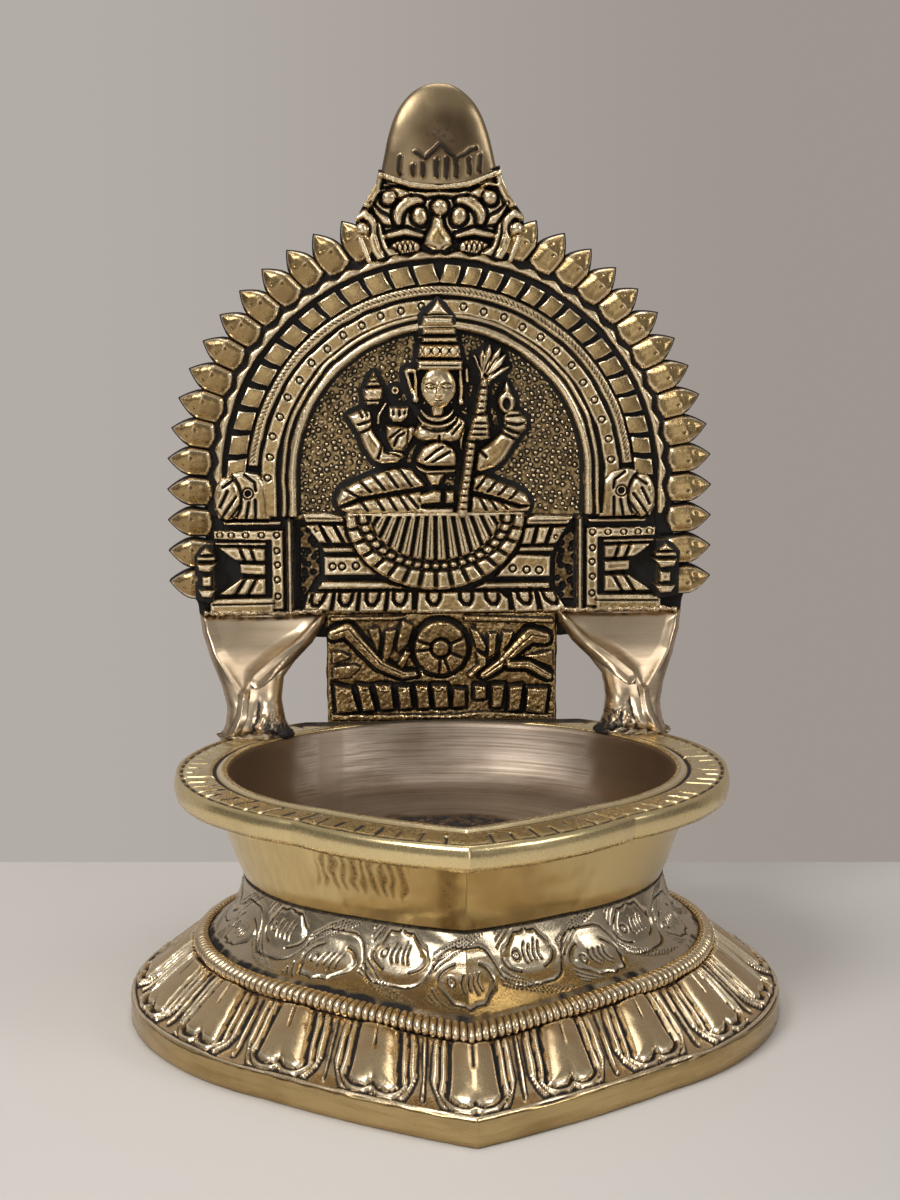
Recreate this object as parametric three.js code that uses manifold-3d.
// A brass oil lamp: a pointed bowl on a lotus foot, with an arched relief plate standing behind it.
// Millimetres, +Z up. The origin is under the middle of the foot, on the table, and the point of the lamp
// faces -Y.

import * as THREE from "three";
import { mergeVertices } from "three/addons/utils/BufferGeometryUtils.js";
import Module from "manifold-3d";

const wasm = await Module();
wasm.setup();

// Driving dimensions of the foot. "Front" and "back" are distances from the origin along Y.
const footWidth = 124;
const footLength = 136.7;
const footBandHeight = 4.7;
const footBandBow = 1.1;
const footWall = 3.8;
const beadBottomZ = 12.2;
const beadTopZ = 16.5;
const beadWidth = 99;
const beadFront = 53;
const beadBack = 58.9;
const neckWidth = 89;
const neckFront = 44.2;
const neckBack = 54.3;
const sideBow = 0.7;

// Driving dimensions of the seat between the foot and the bowl.
const seatZ = 25.2;
const seatWidth = 81.2;
const seatFront = 33.7;
const seatBack = 53;
const seatWebThickness = 4;

// Driving dimensions of the bowl and its flange.
const rimTopZ = 44.45;
const rimThickness = 4.5;
const rimWidth = 107.6;
const rimFront = 49.9;
const rimBackRound = 68.8;
const rimBow = 2.7;
const rimEdge = 0.45;
const rimFlatY = 59.35;
const wallTopWidth = 93.6;
const wallTopFront = 42.6;
const wallTopBack = 61.9;
const lipWidth = 87.2;
const lipFront = 36.95;
const lipBack = 58.4;
const floorZ = 31;
const floorWidth = 74;
const floorFront = 30.5;
const floorBack = 51.6;

// Driving dimensions of the screw that holds the bowl on the foot.
const screwDiameter = 5;
const screwHeadDiameter = 10;
const screwHeadHeight = 3.2;
const screwSlotWidth = 1.2;
const screwSlotDepth = 1.4;
const screwEngagement = 4;
const washerDiameter = 14;
const washerThickness = 1.2;
const boreClearance = 0.4;

// Driving dimensions of the back plate.
const plateThickness = 4.4;
const tabSeatRelief = 1.8;
const archCentreZ = 96.5;
const archSideZ = 72;
const petalTipRadius = 58.7;
const petalRootRadius = 48.6;
const petalWidth = 7.2;
const petalHeight = 2.3;
const petalEdgeHeight = 0.7;
const petalsPerSide = 15;
const crestHalfWidth = 17;
const borderRidgeRadius = 47.4;
const borderRidgeWidth = 1.7;
const blockRadius = 43.5;
const blockLength = 4.2;
const blockPitch = 4.3;
const blockGap = 0.7;
const ropeRadius = 39.8;
const ropeWidth = 2;
const stampBandRadius = 36.3;
const stampBandWidth = 3.4;
const nicheRidgeRadius = 31.3;
const nicheRidgeWidth = 2.3;
const nicheRidgeRise = 2.4;
const nicheDepth = 0.8;
const bandHeight = 1.7;
const lowBandHeight = 0.9;
const pillarInnerX = 29.6;
const pillarOuterX = 48.2;
const pillarBottomZ = 69.3;
const pillarTopZ = 88.5;
const pillarHeight = 2;
const headHeight = 10.4;
const headRelief = 3;
const seatLevelDrop = 6.8;
const pedestalHalfWidth = 29;
const pedestalFootZ = 68.6;
const pedestalHeight = 2.2;
const drapeRadius = 19.2;
const drapeHeight = 1.2;
const pleats = 11;
const figureHeight = 44.3;
const figureRelief = 4.4;
const tabHalfWidth = 24.6;
const tabTopZ = 67.4;
const tabRelief = 1.5;
const flowerRadius = 6.2;
const maskBottomZ = 142;
const maskTopZ = 160.6;
const maskHeight = 2.6;
const knobTopZ = 179.4;
const knobHalfWidth = 12.3;
const knobDepth = 6.4;

// Driving dimensions of the legs and of the braze.
const legTopZ = 68;
const legOuterX = 50.6;
const legInnerX = 26.4;
const legTopDepth = 4.6;
const legFootLength = 14.6;
const legFootWidth = 8.4;
const legAnkleWidth = 7.6;
const legAnkleDepth = 9.2;
const legFootAngle = THREE.MathUtils.degToRad(38);
const legFootShare = 0.7;
const lugOverhang = 1.2;
const brazeHeight = 1.2;
const brazeReach = 1.5;
const brazeClearance = 0.3;
const tabBrazeLength = 14;
const cutOverrun = 10;

// Places worked out from the driving dimensions.
const groundY = rimFlatY + tabSeatRelief;
const plateBackY = groundY + plateThickness;
const rimBottomZ = rimTopZ - rimThickness;
const tabBottomZ = rimBottomZ;
const seatLevelZ = archCentreZ - seatLevelDrop;
const webBottomZ = seatZ - seatWebThickness;
const washerBottomZ = webBottomZ - washerThickness;

// How finely the round forms are cut.
const arcSteps = 34;
const sideSteps = 5;
const archSteps = 30;
const ovalSteps = 16;
const boreSteps = 24;
const limbSides = 6;
const limbSteps = 5;
const blobSides = 8;
const blobRings = 6;

// Colours of the metal, from the bright worn brass to the darkened hollows.
const polishedBrass = { color: 0xc9a964, roughness: 0.3, metalness: 1 };
const antiqueBrass = { color: 0xa88547, roughness: 0.42, metalness: 1 };
const pinkBrass = { color: 0xb49a78, roughness: 0.36, metalness: 1 };
const filler = { color: 0x4a3d2c, roughness: 0.7, metalness: 0.8 };
const steel = { color: 0x9a9a98, roughness: 0.4, metalness: 1 };

const lamp = new THREE.Group();

// A closed geometry as a solid that can be joined and cut. Triangles that close up to a line are dropped.
function solidOf(geometry) {
  const bare = geometry.clone();
  bare.deleteAttribute("normal");
  bare.deleteAttribute("uv");
  const merged = mergeVertices(bare);
  const corners = merged.index.array;
  const kept = [];
  for (let i = 0; i < corners.length; i += 3) {
    const [a, b, c] = corners.slice(i, i + 3);
    if (a !== b && b !== c && c !== a) kept.push(a, b, c);
  }
  const vertProperties = merged.attributes.position.array;
  return new wasm.Manifold(new wasm.Mesh({ numProp: 3, vertProperties, triVerts: new Uint32Array(kept) }));
}

// A solid back as a geometry of flat facets.
function geometryOf(solid) {
  const mesh = solid.getMesh();
  const geometry = new THREE.BufferGeometry();
  geometry.setAttribute("position", new THREE.BufferAttribute(mesh.vertProperties, 3));
  geometry.setIndex(new THREE.BufferAttribute(mesh.triVerts, 1));
  const facets = geometry.toNonIndexed();
  facets.computeVertexNormals();
  return facets;
}

function addPiece(name, solid, finish) {
  const mesh = new THREE.Mesh(geometryOf(solid), new THREE.MeshStandardMaterial(finish));
  mesh.name = name;
  lamp.add(mesh);
}

// A skin through rings of equal point counts. The two ends are closed with fans, or joined to each other.
function loft(rings, joined = false) {
  const count = rings[0].length;
  const points = rings.flat();
  const index = [];
  const bands = joined ? rings.length : rings.length - 1;
  for (let band = 0; band < bands; band++) {
    const low = band * count;
    const high = ((band + 1) % rings.length) * count;
    for (let i = 0; i < count; i++) {
      const j = (i + 1) % count;
      index.push(low + i, low + j, high + j, low + i, high + j, high + i);
    }
  }
  if (!joined) {
    const last = (rings.length - 1) * count;
    const bottom = points.length;
    points.push(centreOf(rings[0]), centreOf(rings[rings.length - 1]));
    for (let i = 0; i < count; i++) {
      const j = (i + 1) % count;
      index.push(bottom, j, i, bottom + 1, last + i, last + j);
    }
  }
  const geometry = new THREE.BufferGeometry().setFromPoints(points);
  geometry.setIndex(index);
  const solid = solidOf(geometry);
  if (solid.volume() > 0) return solid;
  geometry.setIndex(index.slice().reverse());
  return solidOf(geometry);
}

function centreOf(ring) {
  const sum = new THREE.Vector3();
  for (const point of ring) sum.add(point);
  return sum.divideScalar(ring.length);
}

// A box between two corners.
function box(x0, x1, y0, y1, z0, z1) {
  const geometry = new THREE.BoxGeometry(x1 - x0, y1 - y0, z1 - z0);
  geometry.translate((x0 + x1) / 2, (y0 + y1) / 2, (z0 + z1) / 2);
  return solidOf(geometry);
}

// An upright cylinder from one height to another.
function cylinder(diameter, z0, z1, y) {
  const geometry = new THREE.CylinderGeometry(diameter / 2, diameter / 2, z1 - z0, boreSteps);
  geometry.rotateX(Math.PI / 2);
  geometry.translate(0, y, (z0 + z1) / 2);
  return solidOf(geometry);
}

function joinAll(solids) {
  return wasm.Manifold.union(solids);
}

// The plan that the foot, the bowl and the flange share: a round back, and two slightly bowed sides that run
// from it to a point in front.
function plan(width, front, back, bow) {
  return { radius: width / 2, front, centre: back - width / 2, bow };
}

function between(a, b, share) {
  const mixed = {};
  for (const key of Object.keys(a)) mixed[key] = THREE.MathUtils.lerp(a[key], b[key], share);
  return mixed;
}

function planRing({ radius, front, centre, bow }, z) {
  const reach = Math.max(front + centre, radius);
  const open = Math.acos(radius / reach);
  const ring = [];
  const from = -Math.PI / 2 + open;
  const sweep = 2 * Math.PI - 2 * open;
  for (let i = 0; i <= arcSteps; i++) {
    const angle = from + (sweep * i) / arcSteps;
    ring.push(new THREE.Vector3(radius * Math.cos(angle), centre + radius * Math.sin(angle), z));
  }
  const start = ring[arcSteps];
  const point = new THREE.Vector3(0, centre - reach, z);
  const outward = new THREE.Vector3(-(start.y - point.y), start.x, 0).normalize();
  if (outward.x > 0) outward.negate();
  const side = [];
  for (let i = 1; i < sideSteps; i++) {
    const share = i / sideSteps;
    const swell = 4 * share * (1 - share) * bow;
    side.push(start.clone().lerp(point, share).addScaledVector(outward, swell));
  }
  ring.push(...side, point);
  for (const place of side.reverse()) ring.push(new THREE.Vector3(-place.x, place.y, z));
  return ring;
}

// The same plan drawn in by a wall thickness.
function inset({ radius, front, centre, bow }, wall) {
  const pull = (wall * (front + centre)) / radius;
  return { radius: radius - wall, front: front - pull, centre, bow };
}

const footPlan = plan(footWidth, footLength / 2, footLength / 2, footBandBow);
const beadPlan = plan(beadWidth, beadFront, beadBack, sideBow);
const neckPlan = plan(neckWidth, neckFront, neckBack, sideBow);
const seatPlan = plan(seatWidth, seatFront, seatBack, sideBow);
const wallTopPlan = plan(wallTopWidth, wallTopFront, wallTopBack, sideBow);
const rimPlan = plan(rimWidth, rimFront, rimBackRound, rimBow);
const lipPlan = plan(lipWidth, lipFront, lipBack, sideBow);
const floorPlan = plan(floorWidth, floorFront, floorBack, sideBow);
const screwY = seatPlan.centre;

// A bore as a plan: a circle about the screw.
function borePlan(diameter) {
  return { radius: diameter / 2, front: diameter / 2 - screwY, centre: screwY, bow: 0 };
}

// The foot: an upright band, the ogee that carries the lotus petals, a half-round bead, the hollow neck, and a
// web on top that the bowl stands on. Each row gives how far across and how far up a stretch a ring lies.
function makeFoot() {
  const flareShares = [
    [0.05, 0.06],
    [0.26, 0.17],
    [0.6, 0.56],
    [0.86, 0.86],
    [1, 1],
  ];
  const beadShares = [
    [-0.1, 0.28],
    [0.06, 0.62],
    [0.48, 0.97],
  ];
  const neckShares = [
    [0, 0.03],
    [0.4, 0.28],
    [0.78, 0.62],
    [1, 1],
  ];
  const hollowShares = [
    [0, 0],
    [0.03, 0.16],
    [0.52, 0.48],
    [0.76, 0.74],
    [1, 1],
  ];
  const rings = [planRing(footPlan, 0), planRing(footPlan, footBandHeight)];
  for (const [across, up] of flareShares) {
    const z = THREE.MathUtils.lerp(footBandHeight, beadBottomZ, up);
    rings.push(planRing(between(footPlan, beadPlan, across), z));
  }
  for (const [across, up] of beadShares) {
    const z = THREE.MathUtils.lerp(beadBottomZ, beadTopZ, up);
    rings.push(planRing(between(beadPlan, neckPlan, across), z));
  }
  for (const [across, up] of neckShares) {
    const z = THREE.MathUtils.lerp(beadTopZ, seatZ, up);
    rings.push(planRing(between(neckPlan, seatPlan, across), z));
  }
  const bore = borePlan(screwDiameter + 2 * boreClearance);
  rings.push(planRing(bore, seatZ), planRing(bore, webBottomZ));
  const hollowTop = inset(seatPlan, footWall);
  const hollowFoot = inset(footPlan, footWall);
  for (const [across, down] of hollowShares.reverse()) {
    rings.push(planRing(between(hollowFoot, hollowTop, across), webBottomZ * down));
  }
  addPiece("foot", loft(rings, true), antiqueBrass);
}

// The bowl: its wall swells up to a flat flange, and its back is filed flat where the plate's tab sits against
// it. A blind hole in its floor takes the screw, so that no oil can leak.
function makeBowl() {
  const wallShares = [
    [0, 0],
    [0.2, 0.17],
    [0.46, 0.46],
    [0.74, 0.76],
    [1, 1],
  ];
  const insideShares = [
    [0, 0],
    [0.07, 0.06],
    [0.32, 0.45],
    [0.62, 0.8],
    [0.86, 0.96],
    [1.2, 1],
  ];
  const rings = [];
  for (const [across, up] of wallShares) {
    const z = THREE.MathUtils.lerp(seatZ, rimBottomZ, up);
    rings.push(planRing(between(seatPlan, wallTopPlan, across), z));
  }
  rings.push(planRing(inset(rimPlan, rimEdge), rimBottomZ));
  rings.push(planRing(rimPlan, rimBottomZ + rimEdge));
  rings.push(planRing(rimPlan, rimTopZ - rimEdge));
  rings.push(planRing(inset(rimPlan, rimEdge), rimTopZ));
  for (const [across, down] of insideShares) {
    const z = THREE.MathUtils.lerp(rimTopZ, floorZ, down);
    rings.push(planRing(between(lipPlan, floorPlan, across), z));
  }
  const flatCut = box(-rimWidth, rimWidth, rimFlatY, rimFlatY + rimWidth, 0, rimTopZ + cutOverrun);
  const blindDepth = screwEngagement + boreClearance;
  const blindHole = cylinder(screwDiameter + 2 * boreClearance, seatZ - cutOverrun, seatZ + blindDepth, screwY);
  addPiece("bowl", loft(rings).subtract(flatCut).subtract(blindHole), polishedBrass);
}

// The slotted screw and its washer, up under the foot's web.
function makeFixing() {
  const shank = cylinder(screwDiameter, washerBottomZ - screwHeadHeight / 2, seatZ + screwEngagement, screwY);
  const headBottomZ = washerBottomZ - screwHeadHeight;
  const head = cylinder(screwHeadDiameter, headBottomZ, washerBottomZ, screwY);
  const halfSlot = screwSlotWidth / 2;
  const slot = box(-washerDiameter, washerDiameter, screwY - halfSlot, screwY + halfSlot,
    headBottomZ - cutOverrun, headBottomZ + screwSlotDepth);
  addPiece("fixing_screw", head.add(shank).subtract(slot), steel);
  const disc = cylinder(washerDiameter, washerBottomZ, webBottomZ, screwY);
  const bore = cylinder(screwDiameter + 2 * boreClearance, 0, seatZ, screwY);
  addPiece("fixing_washer", disc.subtract(bore), steel);
}

// A flat form on the plate, from half its thickness to a height in front of its ground. The outline is drawn
// in X and Z.
function onPlate(shape, height) {
  const root = plateThickness / 2;
  const geometry = new THREE.ExtrudeGeometry(shape, {
    depth: root + height,
    bevelEnabled: false,
    curveSegments: archSteps,
  });
  geometry.rotateX(Math.PI / 2);
  geometry.translate(0, groundY + root, 0);
  return solidOf(geometry);
}

function polygon(points) {
  return new THREE.Shape(points.map(([x, z]) => new THREE.Vector2(x, z)));
}

// A block on the plate between two heights, narrower or wider at its top.
function slab(lowHalf, highHalf, z0, z1, height, x = 0) {
  return onPlate(polygon([[x - lowHalf, z0], [x + lowHalf, z0], [x + highHalf, z1], [x - highHalf, z1]]), height);
}

// A rounded swelling on the plate, sunk in it by half its own depth.
function blob(x, z, width, height, relief, turn = 0) {
  const geometry = new THREE.SphereGeometry(1, blobSides, blobRings);
  geometry.scale(width / 2, relief, height / 2);
  geometry.rotateY(turn);
  geometry.translate(x, groundY, z);
  return solidOf(geometry);
}

// A rounded limb that follows points on the plate and changes in thickness as it goes. Each point is
// [x, z, thickness], and relief says how far its ridge stands in front of the ground.
function limb(points, relief, steps = limbSteps) {
  const route = new THREE.CatmullRomCurve3(points.map(([x, z]) => new THREE.Vector3(x, groundY, z)));
  const rings = [];
  for (let i = 0; i <= steps; i++) {
    const share = i / steps;
    const place = route.getPoint(share);
    const along = route.getTangent(share);
    const across = new THREE.Vector3(-along.z, 0, along.x).normalize();
    const spot = share * (points.length - 1);
    const first = Math.min(Math.floor(spot), points.length - 2);
    const thick = THREE.MathUtils.lerp(points[first][2], points[first + 1][2], spot - first);
    const ring = [];
    for (let k = 0; k < limbSides; k++) {
      const angle = (2 * Math.PI * k) / limbSides;
      const out = place.clone().addScaledVector(across, (Math.cos(angle) * thick) / 2);
      out.y -= Math.sin(angle) * relief;
      ring.push(out);
    }
    rings.push(ring);
  }
  return loft(rings);
}

// A crowned petal or leaf on the plate, from its root to its tip, with a ridge along its middle.
function petal(root, tip, width, ridge, edge) {
  const placeShares = [0, 0.34, 0.62, 0.86, 1];
  const widthShares = [0.8, 1, 0.9, 0.56, 0.12];
  const ridgeShares = [0.5, 0.9, 1, 0.85, 0.4];
  const along = tip.clone().sub(root);
  const across = new THREE.Vector3(-along.z, 0, along.x).normalize();
  const rings = widthShares.map((widthShare, i) => {
    const middle = root.clone().addScaledVector(along, placeShares[i]);
    const half = (width * widthShare) / 2;
    const corner = (side, y) => middle.clone().addScaledVector(across, side * half).setY(y);
    const backY = groundY + plateThickness;
    return [
      corner(-1, backY),
      corner(-1, groundY - edge),
      corner(0, groundY - edge - (ridge - edge) * ridgeShares[i]),
      corner(1, groundY - edge),
      corner(1, backY),
    ];
  });
  return loft(rings);
}

// A place on an arch: straight sides below its centre and a half circle above it. The distance is measured
// along the arch from the crest, to the right where it is positive.
function archPlace(radius, distance, rise = 0) {
  const quarter = (Math.PI / 2) * radius;
  const side = Math.sign(distance) || 1;
  const along = Math.abs(distance);
  const centreZ = archCentreZ + rise;
  if (along > quarter) return { x: side * radius, z: centreZ - (along - quarter), turn: (side * Math.PI) / 2 };
  const angle = along / radius;
  return { x: side * radius * Math.sin(angle), z: centreZ + radius * Math.cos(angle), turn: side * angle };
}

// A band that follows the arch down to a height at both sides, crowned in front.
function archBand(radius, width, height, bottomZ, rise = 0) {
  const half = (Math.PI / 2) * radius + archCentreZ + rise - bottomZ;
  const rings = [];
  for (let i = 0; i <= archSteps; i++) {
    const { x, z, turn } = archPlace(radius, THREE.MathUtils.lerp(-half, half, i / archSteps), rise);
    const out = new THREE.Vector3(Math.sin(turn), 0, Math.cos(turn));
    const point = (across, y) => new THREE.Vector3(x, y, z).addScaledVector(out, across);
    rings.push([
      point(-width / 2, groundY + plateThickness / 2),
      point(-width / 2, groundY - height / 2),
      point(0, groundY - height),
      point(width / 2, groundY - height / 2),
      point(width / 2, groundY + plateThickness / 2),
    ]);
  }
  return loft(rings);
}

// The sheet of metal that everything on the plate stands on: an arch, two lugs behind the legs, and the tab.
function plateSheet() {
  const radius = petalRootRadius + borderRidgeWidth;
  const lugShares = [
    [1, 1],
    [0.76, 0.34],
    [0.56, 0.34],
    [0.38, 0.58],
    [0.16, 0.75],
    [-0.04, 0.77],
  ];
  const lugTopX = legOuterX + lugOverhang;
  const lug = lugShares.map(([across, up]) => [
    THREE.MathUtils.lerp(legInnerX, lugTopX, across),
    THREE.MathUtils.lerp(rimTopZ, legTopZ, up),
  ]);
  const shape = new THREE.Shape();
  shape.moveTo(tabHalfWidth, tabBottomZ);
  shape.lineTo(tabHalfWidth, lug[lug.length - 1][1]);
  for (const [x, z] of lug.reverse()) shape.lineTo(x, z);
  shape.lineTo(petalTipRadius - petalHeight, archSideZ);
  shape.lineTo(radius, archSideZ + petalWidth);
  shape.absarc(0, archCentreZ, radius, 0, Math.PI, false);
  shape.lineTo(-radius, archSideZ + petalWidth);
  shape.lineTo(-(petalTipRadius - petalHeight), archSideZ);
  for (const [x, z] of lug.reverse()) shape.lineTo(-x, z);
  shape.lineTo(-tabHalfWidth, lug[lug.length - 1][1]);
  shape.lineTo(-tabHalfWidth, tabBottomZ);
  const geometry = new THREE.ExtrudeGeometry(shape, {
    depth: plateThickness,
    bevelEnabled: false,
    curveSegments: archSteps,
  });
  geometry.rotateX(Math.PI / 2);
  geometry.translate(0, plateBackY, 0);
  return solidOf(geometry);
}

// The border of overlapping petals, which stops at the lion mask on both sides. Their tips are evenly spaced.
function petalBorder() {
  const petals = [];
  const start = petalTipRadius * Math.asin(crestHalfWidth / petalTipRadius);
  const end = (Math.PI / 2) * petalTipRadius + archCentreZ - archSideZ;
  for (const side of [-1, 1]) {
    for (let i = 0; i < petalsPerSide; i++) {
      const distance = THREE.MathUtils.lerp(start, end, (i + 1 / 2) / petalsPerSide);
      const { x, z, turn } = archPlace(petalTipRadius, side * distance);
      const tip = new THREE.Vector3(x, 0, z);
      const out = new THREE.Vector3(Math.sin(turn), 0, Math.cos(turn));
      const root = tip.clone().addScaledVector(out, petalRootRadius - petalTipRadius);
      petals.push(petal(root, tip, petalWidth, petalHeight, petalEdgeHeight));
    }
  }
  return petals;
}

// The row of upright blocks between the two round bands.
function blockRow() {
  const blocks = [];
  const end = (Math.PI / 2) * blockRadius + archCentreZ - pillarTopZ - headHeight;
  const count = Math.floor((2 * end) / blockPitch);
  const wide = blockPitch - blockGap;
  for (let i = 0; i < count; i++) {
    const distance = (i - (count - 1) / 2) * blockPitch;
    const { x, z, turn } = archPlace(blockRadius, distance);
    const geometry = new THREE.BoxGeometry(wide, bandHeight + plateThickness / 2, blockLength);
    geometry.rotateY(turn);
    geometry.translate(x, groundY + plateThickness / 4 - bandHeight / 2, z);
    blocks.push(solidOf(geometry));
  }
  return blocks;
}

// One pillar with the elephant head that the arch springs from. The hourglass between base and cap is a
// polygon, and the small urn beside it stands on the sheet.
function pillar(side) {
  const wide = pillarOuterX - pillarInnerX;
  const tall = pillarTopZ - pillarBottomZ;
  const at = (across, up) => [side * (pillarInnerX + wide * across), pillarBottomZ + tall * up];
  const hourglassShares = [
    [0.32, 0.24],
    [0.9, 0.24],
    [0.56, 0.5],
    [0.56, 0.58],
    [0.9, 0.84],
    [0.32, 0.84],
  ];
  const bar = (a0, u0, a1, u1, height) =>
    onPlate(polygon([at(a0, u0), at(a1, u0), at(a1, u1), at(a0, u1)]), height);
  const headZ = pillarTopZ + headHeight / 2;
  const [headX] = at(0.52, 0);
  const [urnX, urnZ] = at(0.98, 0.5);
  return [
    bar(0, 0, 0.11, 1, pillarHeight),
    bar(0.15, 0.06, 0.3, 0.93, lowBandHeight),
    bar(0.11, 0.88, 1, 1, pillarHeight),
    bar(0.11, 0, 0.96, 0.2, pillarHeight),
    onPlate(polygon(hourglassShares.map(([across, up]) => at(across, up))), bandHeight),
    blob(headX, headZ, wide * 0.62, headHeight, headRelief),
    limb([[at(0.3, 0)[0], headZ + headHeight * 0.2, wide * 0.2], [at(0.16, 0)[0], pillarTopZ, wide * 0.12]],
      headRelief * 0.7, 3),
    blob(urnX, urnZ + tall * 0.06, wide * 0.2, tall * 0.2, bandHeight),
    blob(urnX, urnZ - tall * 0.14, wide * 0.16, tall * 0.22, bandHeight),
  ];
}

// The pedestal: a seat slab, slanted blocks under it, a dado, and a row of lobes along its foot, with the fan of
// pleated cloth that hangs from the seat.
function pedestal() {
  const tall = seatLevelZ - pedestalFootZ;
  const tierShares = [
    [1, 1, 0.92, 1, 1],
    [0.9, 0.97, 0.64, 0.9, 0.86],
    [0.88, 0.88, 0.56, 0.62, 1],
    [0.86, 0.86, 0.34, 0.54, 0.72],
    [0.85, 0.85, 0.22, 0.31, 1],
    [1, 0.86, 0, 0.2, 0.8],
  ];
  const parts = tierShares.map(([low, high, z0, z1, out]) =>
    slab(pedestalHalfWidth * low, pedestalHalfWidth * high, pedestalFootZ + tall * z0,
      pedestalFootZ + tall * z1, pedestalHeight * out));
  const fan = new THREE.Shape();
  fan.absarc(0, seatLevelZ, drapeRadius, Math.PI, 2 * Math.PI, false);
  parts.push(onPlate(fan, pedestalHeight + drapeHeight / 2));
  for (let i = 0; i < pleats; i++) {
    const angle = (Math.PI * (i + 1 / 2)) / pleats;
    const pleatShares = [
      [0.12, 0.03],
      [0.5, 0.13],
      [0.8, 0.17],
    ];
    const route = pleatShares.map(([out, thick]) => [
      drapeRadius * out * Math.cos(angle),
      seatLevelZ - drapeRadius * out * Math.sin(angle),
      drapeRadius * thick,
    ]);
    parts.push(limb(route, pedestalHeight + drapeHeight, 2));
  }
  return parts;
}

// The seated figure with four arms, cross-legged on the pedestal. All its places are shares of its height from
// the seat to the tip of the crown.
function figure() {
  const h = figureHeight;
  const at = ([x, z, thick]) => [x * h, seatLevelZ + z * h, thick * h];
  const round = ([x, z, wide, tall, out]) => blob(x * h, seatLevelZ + z * h, wide * h, tall * h, out * figureRelief);
  const limbShares = [
    [[[-0.06, 0.17, 0.15], [-0.28, 0.13, 0.14], [-0.46, 0.075, 0.1]], 0.75],
    [[[0.06, 0.17, 0.15], [0.24, 0.13, 0.14], [0.4, 0.075, 0.1]], 0.75],
    [[[-0.46, 0.055, 0.08], [-0.2, 0.035, 0.1], [0.14, 0.05, 0.08]], 0.8],
    [[[0.41, 0.055, 0.08], [0.2, 0.03, 0.09], [0.02, 0.045, 0.07]], 0.7],
    [[[0, 0.12, 0.17], [0, 0.24, 0.13], [0, 0.36, 0.2], [0, 0.46, 0.19]], 0.85],
    [[[-0.12, 0.45, 0.09], [-0.24, 0.28, 0.09], [-0.21, 0.4, 0.07]], 0.85],
    [[[0.12, 0.45, 0.09], [0.2, 0.27, 0.09], [0.19, 0.42, 0.07]], 0.8],
    [[[-0.13, 0.46, 0.08], [-0.34, 0.3, 0.08], [-0.4, 0.46, 0.07]], 0.6],
    [[[0.13, 0.46, 0.08], [0.4, 0.32, 0.08], [0.36, 0.48, 0.08]], 0.6],
    [[[0.12, 0.02, 0.045], [0.17, 0.36, 0.05], [0.21, 0.66, 0.05]], 0.95],
    [[[0.21, 0.64, 0.05], [0.26, 0.74, 0.14], [0.3, 0.82, 0.16]], 0.5],
    [[[-0.12, 0.71, 0.03], [0, 0.69, 0.07], [0.12, 0.71, 0.03]], 0.95],
  ];
  const roundShares = [
    [0, 0.6, 0.16, 0.21, 1],
    [-0.12, 0.59, 0.07, 0.15, 0.6],
    [0.12, 0.59, 0.07, 0.15, 0.6],
    [0, 0.785, 0.21, 0.16, 0.9],
    [0, 0.87, 0.17, 0.13, 0.75],
    [0, 0.94, 0.08, 0.13, 0.6],
    [-0.33, 0.57, 0.09, 0.17, 0.6],
    [0.33, 0.56, 0.08, 0.12, 0.6],
    [-0.42, 0.49, 0.09, 0.08, 0.6],
    [-0.2, 0.46, 0.1, 0.1, 0.75],
    [0.19, 0.44, 0.11, 0.09, 0.8],
  ];
  const limbs = limbShares.map(([points, out]) => limb(points.map(at), out * figureRelief));
  return [...limbs, ...roundShares.map(round)];
}

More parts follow.
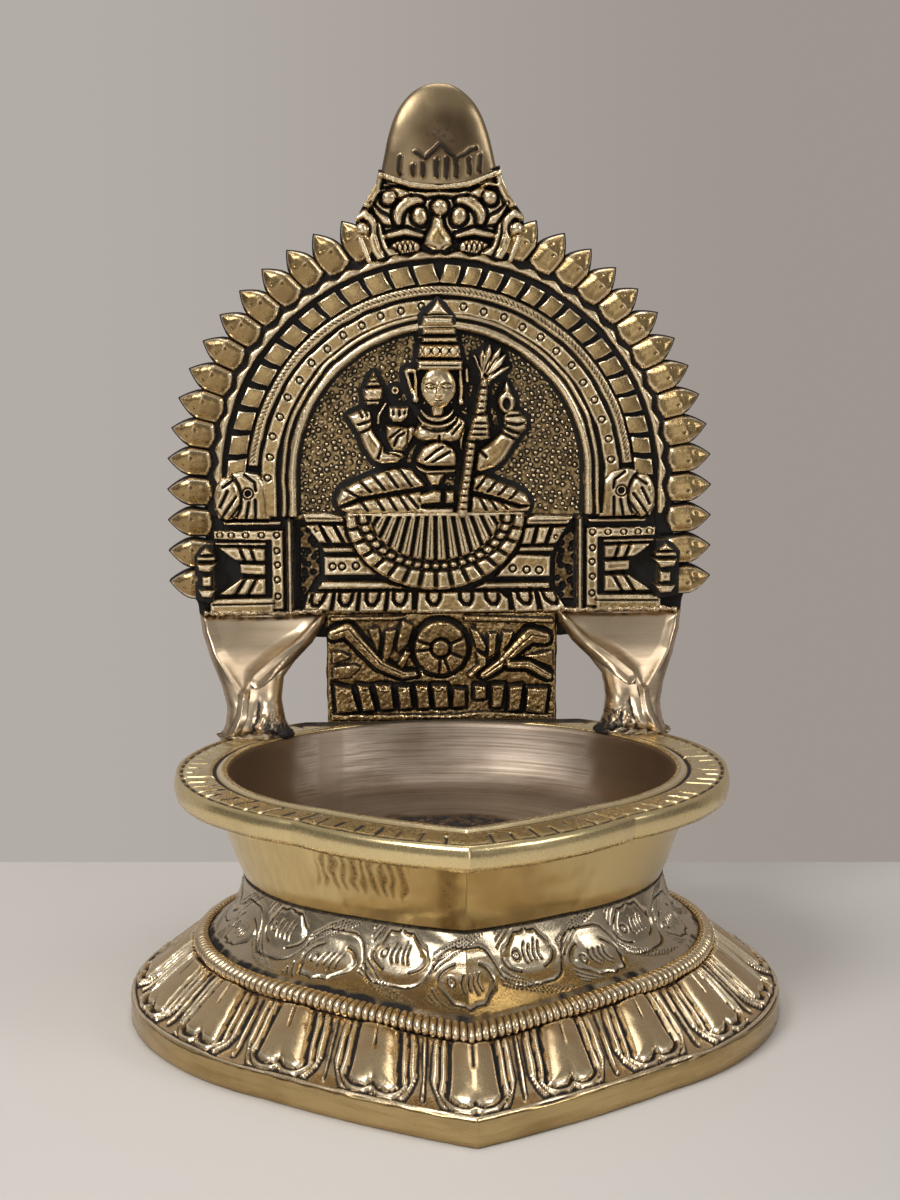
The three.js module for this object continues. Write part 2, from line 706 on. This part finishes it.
// The lion mask over the crest of the arch, and the smooth knob above it, which is a flattened dome.
function crest() {
  const tall = maskTopZ - maskBottomZ;
  const w = crestHalfWidth;
  const at = (x, up) => [x * w, maskBottomZ + tall * up];
  const fieldShares = [
    [0.86, -0.02],
    [1.02, 0.42],
    [0.8, 0.66],
    [0.74, 1],
  ];
  const right = fieldShares.map(([x, up]) => at(x, up));
  const left = fieldShares.map(([x, up]) => at(-x, up)).reverse();
  const swell = (x, up, wide, high, out, turn = 0) =>
    blob(...at(x, up), wide * w, high * tall, out * maskHeight, turn);
  const curl = (points, out) => limb(points.map(([x, up, thick]) => [...at(x, up), thick * w]), out * maskHeight);
  const parts = [
    onPlate(polygon([...right, ...left]), lowBandHeight),
    swell(0, 0.28, 0.28, 0.5, 1.3),
    swell(0, 0.63, 0.24, 0.22, 1.2),
  ];
  for (const side of [-1, 1]) {
    parts.push(
      swell(side * 0.44, 0.22, 0.46, 0.26, 1),
      swell(side * 0.22, 0.56, 0.2, 0.2, 1),
      curl([[side * 0.14, 0.42, 0.1], [side * 0.45, 0.42, 0.14], [side * 0.76, 0.26, 0.08]], 0.9),
      curl([[side * 0.32, 0.7, 0.2], [side * 0.55, 0.78, 0.26], [side * 0.68, 0.92, 0.1]], 1),
      curl([[side * 0.72, 0.08, 0.12], [side * 0.86, 0.3, 0.2], [side * 0.98, 0.5, 0.1]], 1),
    );
  }
  parts.push(curl([[-0.7, 0.95, 0.1], [0, 0.88, 0.14], [0.7, 0.95, 0.1]], 1));
  const domeShares = [
    [1, 0, 0.8],
    [0.94, 0.24, 1],
    [0.84, 0.48, 1],
    [0.68, 0.72, 0.92],
    [0.46, 0.9, 0.74],
    [0.2, 0.985, 0.45],
  ];
  const rise = knobTopZ - maskTopZ;
  const rings = domeShares.map(([wide, up, deep]) => {
    const ring = [];
    for (let k = 0; k < ovalSteps; k++) {
      const angle = (2 * Math.PI * k) / ovalSteps;
      const x = knobHalfWidth * wide * Math.cos(angle);
      const y = plateBackY - (knobDepth / 2) * (1 - deep * Math.sin(angle));
      ring.push(new THREE.Vector3(x, y, maskTopZ + rise * up));
    }
    return ring;
  });
  parts.push(loft(rings));
  return parts;
}

// The tab under the plate: a border, a six-petalled flower between curling leaves, and a row of blocks. Below
// the flange's top its face is thickened to sit flat against the back of the bowl.
function tab() {
  const tall = tabTopZ - rimTopZ;
  const flowerZ = rimTopZ + tall * 0.7;
  const padTop = rimTopZ;
  const parts = [onPlate(polygon([
    [-tabHalfWidth, tabBottomZ],
    [tabHalfWidth, tabBottomZ],
    [tabHalfWidth, padTop],
    [-tabHalfWidth, padTop],
  ]), tabSeatRelief)];
  const flowerPetals = 6;
  for (let i = 0; i < flowerPetals; i++) {
    const angle = (2 * Math.PI * i) / flowerPetals;
    const reach = flowerRadius * 0.62;
    parts.push(blob(reach * Math.sin(angle), flowerZ + reach * Math.cos(angle), flowerRadius * 0.72,
      flowerRadius * 0.86, tabRelief, angle));
  }
  parts.push(blob(0, flowerZ, flowerRadius * 0.6, flowerRadius * 0.6, tabRelief * 1.2));
  const leafShares = [
    [0.3, 0.42, 0.46, 0.94],
    [0.3, 0.42, 0.68, 0.9],
    [0.32, 0.4, 0.86, 0.66],
    [0.32, 0.4, 0.9, 0.42],
  ];
  for (const side of [-1, 1]) {
    for (const [x0, z0, x1, z1] of leafShares) {
      const root = new THREE.Vector3(side * x0 * tabHalfWidth, 0, rimTopZ + tall * z0);
      const tip = new THREE.Vector3(side * x1 * tabHalfWidth, 0, rimTopZ + tall * z1);
      parts.push(petal(root, tip, tall * 0.13, tabRelief, 0));
    }
  }
  const blocks = 11;
  const pitch = (2 * tabHalfWidth) / blocks;
  for (let i = 0; i < blocks; i++) {
    const x = (i - (blocks - 1) / 2) * pitch;
    parts.push(slab(pitch * 0.38, pitch * 0.38, rimTopZ + tall * 0.1, rimTopZ + tall * 0.34, tabRelief, x));
  }
  parts.push(slab(tabHalfWidth, tabHalfWidth, rimTopZ + tall * 0.95, tabTopZ, tabRelief));
  return parts;
}

// The sunk niche behind the figure.
function niche() {
  const radius = nicheRidgeRadius - nicheRidgeWidth / 2;
  const shape = new THREE.Shape();
  shape.moveTo(-radius, seatLevelZ);
  shape.lineTo(radius, seatLevelZ);
  shape.absarc(0, archCentreZ + nicheRidgeRise, radius, 0, Math.PI, false);
  const geometry = new THREE.ExtrudeGeometry(shape, {
    depth: nicheDepth + cutOverrun,
    bevelEnabled: false,
    curveSegments: archSteps,
  });
  geometry.rotateX(Math.PI / 2);
  geometry.translate(0, groundY + nicheDepth, 0);
  return solidOf(geometry);
}

function makeBackPlate() {
  const sheet = plateSheet().subtract(niche());
  const springZ = pillarTopZ + headHeight / 2;
  const relief = [
    ...petalBorder(),
    archBand(borderRidgeRadius, borderRidgeWidth, bandHeight, pillarTopZ),
    ...blockRow(),
    archBand(ropeRadius, ropeWidth, bandHeight, springZ),
    archBand(stampBandRadius, stampBandWidth, lowBandHeight, springZ),
    archBand(nicheRidgeRadius, nicheRidgeWidth, bandHeight, pillarTopZ, nicheRidgeRise),
    ...pillar(-1),
    ...pillar(1),
    ...pedestal(),
    ...figure(),
    ...crest(),
    ...tab(),
  ];
  const behind = box(-footWidth, footWidth, plateBackY, plateBackY + footWidth, 0, knobTopZ + cutOverrun);
  addPiece("back_plate", joinAll([sheet, ...relief]).subtract(behind), antiqueBrass);
}

// A leg: its head lies flat on the plate's lug, it narrows forward to an ankle, and its foot stands along the
// middle of the flange. Each row gives the height, how far the middle has moved from foot to head, and how far
// the section has changed from the foot to the ankle and from the ankle to the head.
const legShares = [
  [0, 0, 0, 0],
  [0.13, 0.05, 0.5, 0],
  [0.3, 0.24, 1, 0],
  [0.46, 0.5, 1, 0.02],
  [0.6, 0.7, 1, 0.16],
  [0.74, 0.86, 1, 0.44],
  [0.88, 0.96, 1, 0.8],
  [1, 1, 1, 1],
];

// Where a leg's foot stands: along the flange, nearer its outer edge.
function legFootPlace() {
  const radius = THREE.MathUtils.lerp(lipPlan.radius, rimPlan.radius, legFootShare);
  return {
    x: radius * Math.cos(legFootAngle),
    y: rimPlan.centre + radius * Math.sin(legFootAngle),
  };
}

function ovalRing(x, y, z, halfLong, halfShort, turn, squareness) {
  const ring = [];
  for (let k = 0; k < ovalSteps; k++) {
    const angle = (2 * Math.PI * k) / ovalSteps;
    const long = halfLong * Math.sign(Math.cos(angle)) * Math.abs(Math.cos(angle)) ** squareness;
    const short = halfShort * Math.sign(Math.sin(angle)) * Math.abs(Math.sin(angle)) ** squareness;
    ring.push(new THREE.Vector3(
      x + long * Math.cos(turn) - short * Math.sin(turn),
      y + long * Math.sin(turn) + short * Math.cos(turn),
      z,
    ));
  }
  return ring;
}

function legSolid() {
  const foot = legFootPlace();
  const headX = (legOuterX + legInnerX) / 2;
  const headHalf = (legOuterX - legInnerX) / 2;
  const footTurn = legFootAngle - Math.PI / 2;
  const rings = legShares.map(([up, moved, toAnkle, toHead]) => {
    const lerp = THREE.MathUtils.lerp;
    const ankleHalf = lerp(legFootLength / 2, legAnkleWidth / 2, toAnkle);
    const ankleDeep = lerp(legFootWidth / 2, legAnkleDepth / 2, toAnkle);
    return ovalRing(
      lerp(foot.x, headX, moved),
      lerp(foot.y, groundY, moved),
      lerp(rimTopZ, legTopZ, up),
      lerp(ankleHalf, headHalf, toHead),
      lerp(ankleDeep, legTopDepth / 2, toHead),
      lerp(footTurn, 0, toAnkle),
      lerp(1, 0.5, toHead),
    );
  });
  const behind = box(0, footWidth, groundY, groundY + footWidth, 0, knobTopZ);
  return loft(rings).subtract(behind);
}

function mirrored(solid) {
  const geometry = geometryOf(solid);
  geometry.scale(-1, 1, 1);
  const flipped = geometry.attributes.position.array;
  for (let i = 0; i < flipped.length; i += 9) {
    for (let k = 0; k < 3; k++) {
      [flipped[i + 3 + k], flipped[i + 6 + k]] = [flipped[i + 6 + k], flipped[i + 3 + k]];
    }
  }
  return solidOf(geometry);
}

// The collar of filler round a leg's foot, and the bead along its head.
function footBraze() {
  const foot = legFootPlace();
  const turn = legFootAngle - Math.PI / 2;
  const ring = (grow, z) =>
    ovalRing(foot.x, foot.y, z, legFootLength / 2 + grow, legFootWidth / 2 + grow, turn, 1);
  return loft([
    ring(brazeClearance + brazeReach, rimTopZ),
    ring(brazeClearance + brazeReach / 2, rimTopZ + brazeHeight / 2),
    ring(brazeClearance, rimTopZ + brazeHeight),
    ring(brazeClearance, rimTopZ),
  ], true);
}

function topBraze() {
  const top = pillarBottomZ - brazeClearance;
  return box(pillarInnerX, legOuterX - brazeReach, groundY - brazeReach, groundY, legTopZ, top);
}

function makeLegs() {
  const pieces = {
    leg: [legSolid(), pinkBrass],
    leg_foot_braze: [footBraze(), filler],
    leg_top_braze: [topBraze(), filler],
  };
  for (const [name, [solid, finish]] of Object.entries(pieces)) {
    addPiece("right_" + name, solid, finish);
    addPiece("left_" + name, mirrored(solid), finish);
  }
}

// The fillet under the tab's lower edge, against the bowl's flat back.
function makeTabBraze() {
  const section = new THREE.Shape([
    new THREE.Vector2(rimFlatY, tabBottomZ),
    new THREE.Vector2(rimFlatY, tabBottomZ - 2 * brazeReach),
    new THREE.Vector2(rimFlatY + 2 * brazeReach, tabBottomZ),
  ]);
  const geometry = new THREE.ExtrudeGeometry(section, { depth: tabBrazeLength, bevelEnabled: false });
  geometry.rotateX(Math.PI / 2);
  geometry.rotateZ(Math.PI / 2);
  geometry.translate(-tabBrazeLength / 2, 0, 0);
  addPiece("tab_braze", solidOf(geometry), filler);
}

makeFoot();
makeBowl();
makeFixing();
makeBackPlate();
makeLegs();
makeTabBraze();

export default lamp;
